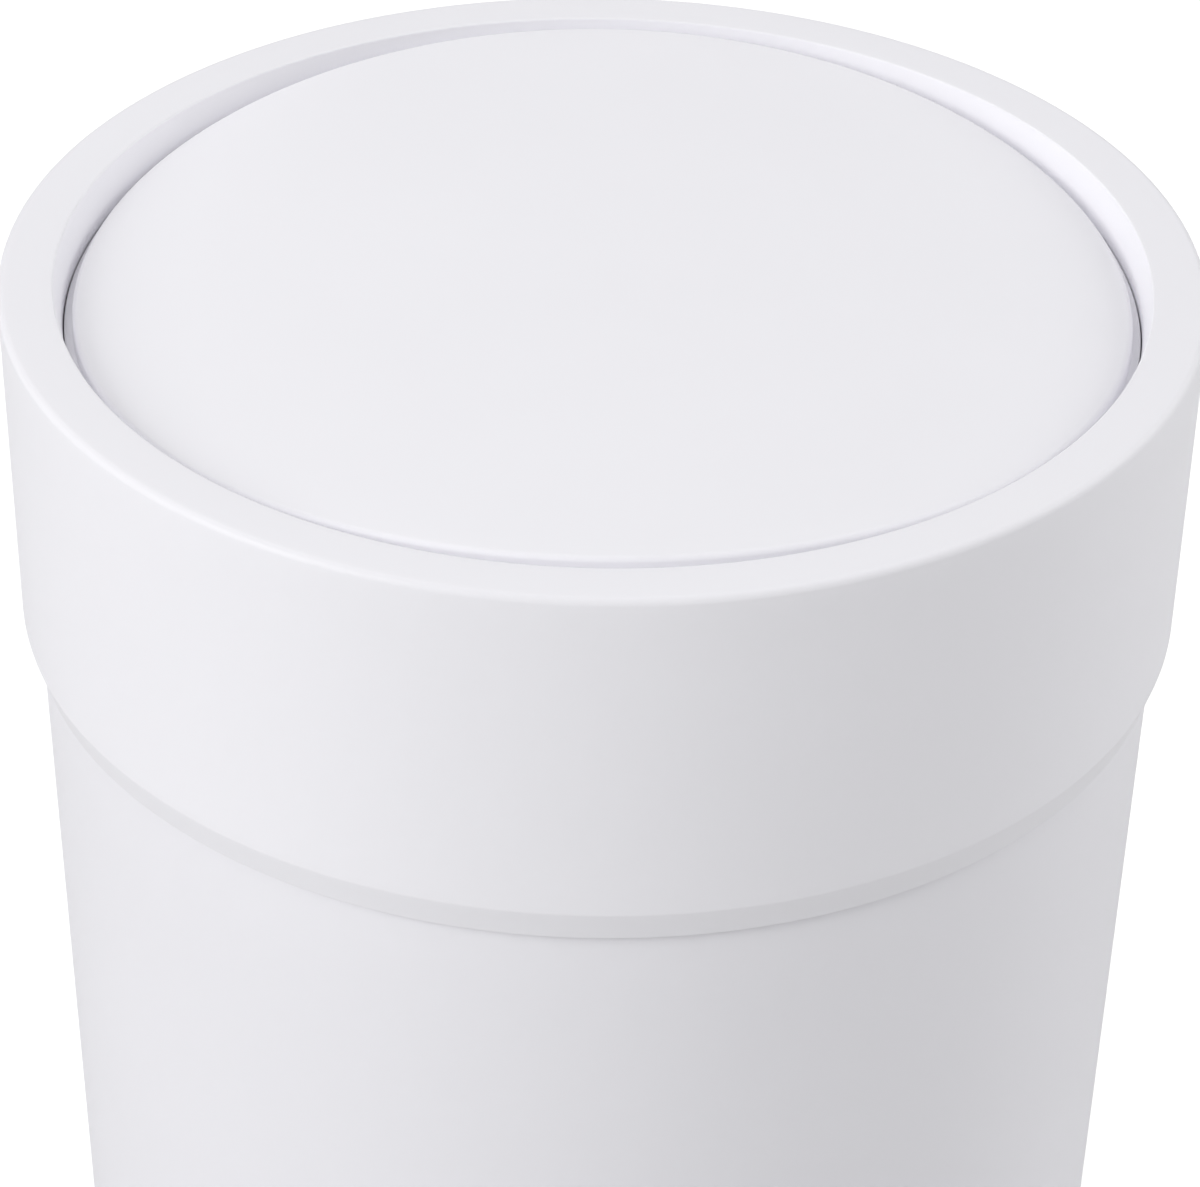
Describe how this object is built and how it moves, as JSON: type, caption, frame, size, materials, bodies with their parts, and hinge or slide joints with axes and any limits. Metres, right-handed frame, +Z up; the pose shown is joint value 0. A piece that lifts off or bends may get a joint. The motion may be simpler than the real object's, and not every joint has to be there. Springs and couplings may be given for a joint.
{
  "type": "swing-top wastebasket",
  "caption": "Round tapered plastic wastebasket with a lift-off collar and a recessed, counterweighted swing lid that pivots on side pins.",
  "frame": {"origin": "centre of the foot ring's circle, on the surface the wastebasket stands on", "axes": "+Z up along the bin's axis; the lid swings about an axis along Y; the front is towards -Y"},
  "size_m": [0.21, 0.21, 0.29],
  "materials": {
    "bin_plastic": "satin",
    "collar_plastic": "satin",
    "lid_plastic": "satin",
    "pan_plastic": "satin",
    "acetal": "satin",
    "zinc_steel": "satin",
    "steel_plate": "satin"
  },
  "bodies": {
    "bin": {"bin_body": "bin_plastic"},
    "collar": {"collar": "collar_plastic", "front_pivot_bush": "acetal", "rear_pivot_bush": "acetal"},
    "lid": {"lid_cover": "lid_plastic", "lid_pan": "pan_plastic", "lid_counterweight": "steel_plate", "front_pivot_pin": "zinc_steel", "rear_pivot_pin": "zinc_steel", "front_weight_screw": "zinc_steel", "rear_weight_screw": "zinc_steel", "pan_screw_1": "zinc_steel", "pan_screw_2": "zinc_steel", "pan_screw_3": "zinc_steel", "pan_screw_4": "zinc_steel"}
  },
  "joints": [
    {"name": "collar_lift", "type": "slide", "parent": "bin", "child": "collar", "axis": [0, 0, 1], "range_m": [0, 0.12]},
    {"name": "lid_swing", "type": "hinge", "parent": "collar", "child": "lid", "pos_m": [0, 0, 0.278], "axis": [0, 1, 0], "range_deg": [-80, 80]}
  ]
}
